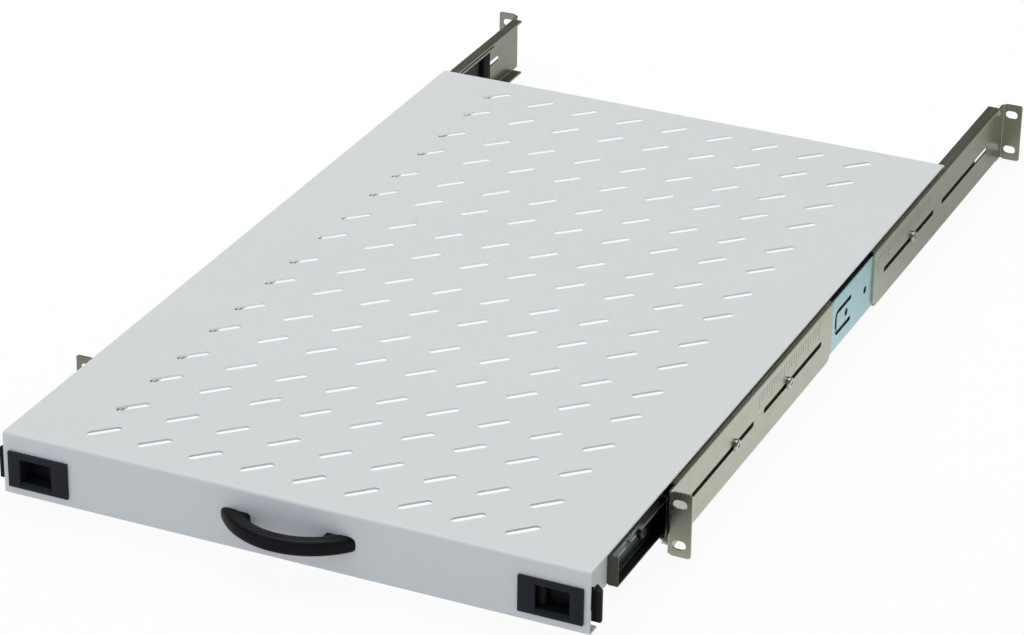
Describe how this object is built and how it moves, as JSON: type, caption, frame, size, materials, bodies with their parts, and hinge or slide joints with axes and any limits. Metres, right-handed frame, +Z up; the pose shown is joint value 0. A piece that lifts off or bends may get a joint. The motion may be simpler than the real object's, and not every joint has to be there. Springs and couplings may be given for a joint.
{
  "type": "sliding rack shelf",
  "caption": "Full-depth pull-out rack shelf: slotted sheet-metal tray with bow handle and spring latches, on telescopic ball slides in depth-adjustable zinc brackets with rack ears.",
  "frame": {"origin": "middle of the four front rack holes, on the front face of the front ears", "axes": "+X to the right, +Y to the back, +Z up"},
  "size_m": [0.4826, 0.8972, 0.055],
  "materials": {
    "shelf_paint": "light grey powder coat, fine satin",
    "black_handle": "black moulded plastic, satin",
    "latch_plastic": "blue-black moulded plastic, satin",
    "bolt_plastic": "black moulded plastic, satin",
    "spring_steel": "bright spring steel",
    "blue_zinc": "blue passivated zinc plate",
    "slide_zinc": "zinc plate",
    "cage_steel": "bright steel strip",
    "ball_steel": "polished bearing balls",
    "bumper_rubber": "black rubber",
    "screw_zinc": "zinc plated screws",
    "bracket_zinc": "olive-grey zinc plate"
  },
  "bodies": {
    "rails": {"left_outer_member": "blue_zinc", "right_outer_member": "blue_zinc", "left_slide_bumper": "bumper_rubber", "right_slide_bumper": "bumper_rubber", "left_front_bracket": "bracket_zinc", "right_front_bracket": "bracket_zinc", "left_front_screws": "screw_zinc", "right_front_screws": "screw_zinc", "left_rear_screw": "screw_zinc", "right_rear_screw": "screw_zinc"},
    "shelf": {"shelf_tray": "shelf_paint", "handle": "black_handle", "handle_screws": "screw_zinc", "left_side_rail": "shelf_paint", "right_side_rail": "shelf_paint", "left_latch_housing": "latch_plastic", "right_latch_housing": "latch_plastic", "left_latch_spring": "spring_steel", "right_latch_spring": "spring_steel", "left_inner_member": "slide_zinc", "right_inner_member": "slide_zinc", "left_inner_screws": "screw_zinc", "right_inner_screws": "screw_zinc"},
    "left_middle": {"left_middle_member": "slide_zinc"},
    "left_outer_cage": {"left_outer_cage": "cage_steel", "left_outer_balls": "ball_steel"},
    "left_inner_cage": {"left_inner_cage": "cage_steel", "left_inner_balls": "ball_steel"},
    "left_latch_bolt": {"left_latch_bolt": "bolt_plastic"},
    "left_rear_bracket": {"left_rear_bracket": "bracket_zinc"},
    "right_middle": {"right_middle_member": "slide_zinc"},
    "right_outer_cage": {"right_outer_cage": "cage_steel", "right_outer_balls": "ball_steel"},
    "right_inner_cage": {"right_inner_cage": "cage_steel", "right_inner_balls": "ball_steel"},
    "right_latch_bolt": {"right_latch_bolt": "bolt_plastic"},
    "right_rear_bracket": {"right_rear_bracket": "bracket_zinc"}
  },
  "joints": [
    {"name": "shelf_slide", "type": "slide", "parent": "rails", "child": "shelf", "axis": [0, -1, 0], "range_m": [-0.086, 0.469]},
    {"name": "left_middle_slide", "type": "slide", "parent": "rails", "child": "left_middle", "axis": [0, -1, 0], "range_m": [-0.043, 0.2345]},
    {"name": "left_outer_cage_slide", "type": "slide", "parent": "rails", "child": "left_outer_cage", "axis": [0, -1, 0], "range_m": [-0.0215, 0.11725]},
    {"name": "left_inner_cage_slide", "type": "slide", "parent": "rails", "child": "left_inner_cage", "axis": [0, -1, 0], "range_m": [-0.0645, 0.35175]},
    {"name": "left_latch_slide", "type": "slide", "parent": "shelf", "child": "left_latch_bolt", "axis": [1, 0, 0], "range_m": [0, 0.0065], "stiffness_N_per_m": 300, "springref_m": -0.01, "deforming": ["left_latch_spring"]},
    {"name": "left_bracket_adjust", "type": "slide", "parent": "rails", "child": "left_rear_bracket", "axis": [0, 1, 0], "range_m": [-0.049, 0.065]},
    {"name": "right_middle_slide", "type": "slide", "parent": "rails", "child": "right_middle", "axis": [0, -1, 0], "range_m": [-0.043, 0.2345]},
    {"name": "right_outer_cage_slide", "type": "slide", "parent": "rails", "child": "right_outer_cage", "axis": [0, -1, 0], "range_m": [-0.0215, 0.11725]},
    {"name": "right_inner_cage_slide", "type": "slide", "parent": "rails", "child": "right_inner_cage", "axis": [0, -1, 0], "range_m": [-0.0645, 0.35175]},
    {"name": "right_latch_slide", "type": "slide", "parent": "shelf", "child": "right_latch_bolt", "axis": [-1, 0, 0], "range_m": [0, 0.0065], "stiffness_N_per_m": 300, "springref_m": -0.01, "deforming": ["right_latch_spring"]},
    {"name": "right_bracket_adjust", "type": "slide", "parent": "rails", "child": "right_rear_bracket", "axis": [0, 1, 0], "range_m": [-0.049, 0.065]}
  ],
  "couplings": [
    {"joint": "left_middle_slide", "follows": "shelf_slide", "ratio": 0.5},
    {"joint": "left_outer_cage_slide", "follows": "shelf_slide", "ratio": 0.25},
    {"joint": "left_inner_cage_slide", "follows": "shelf_slide", "ratio": 0.75},
    {"joint": "right_middle_slide", "follows": "shelf_slide", "ratio": 0.5},
    {"joint": "right_outer_cage_slide", "follows": "shelf_slide", "ratio": 0.25},
    {"joint": "right_inner_cage_slide", "follows": "shelf_slide", "ratio": 0.75}
  ]
}
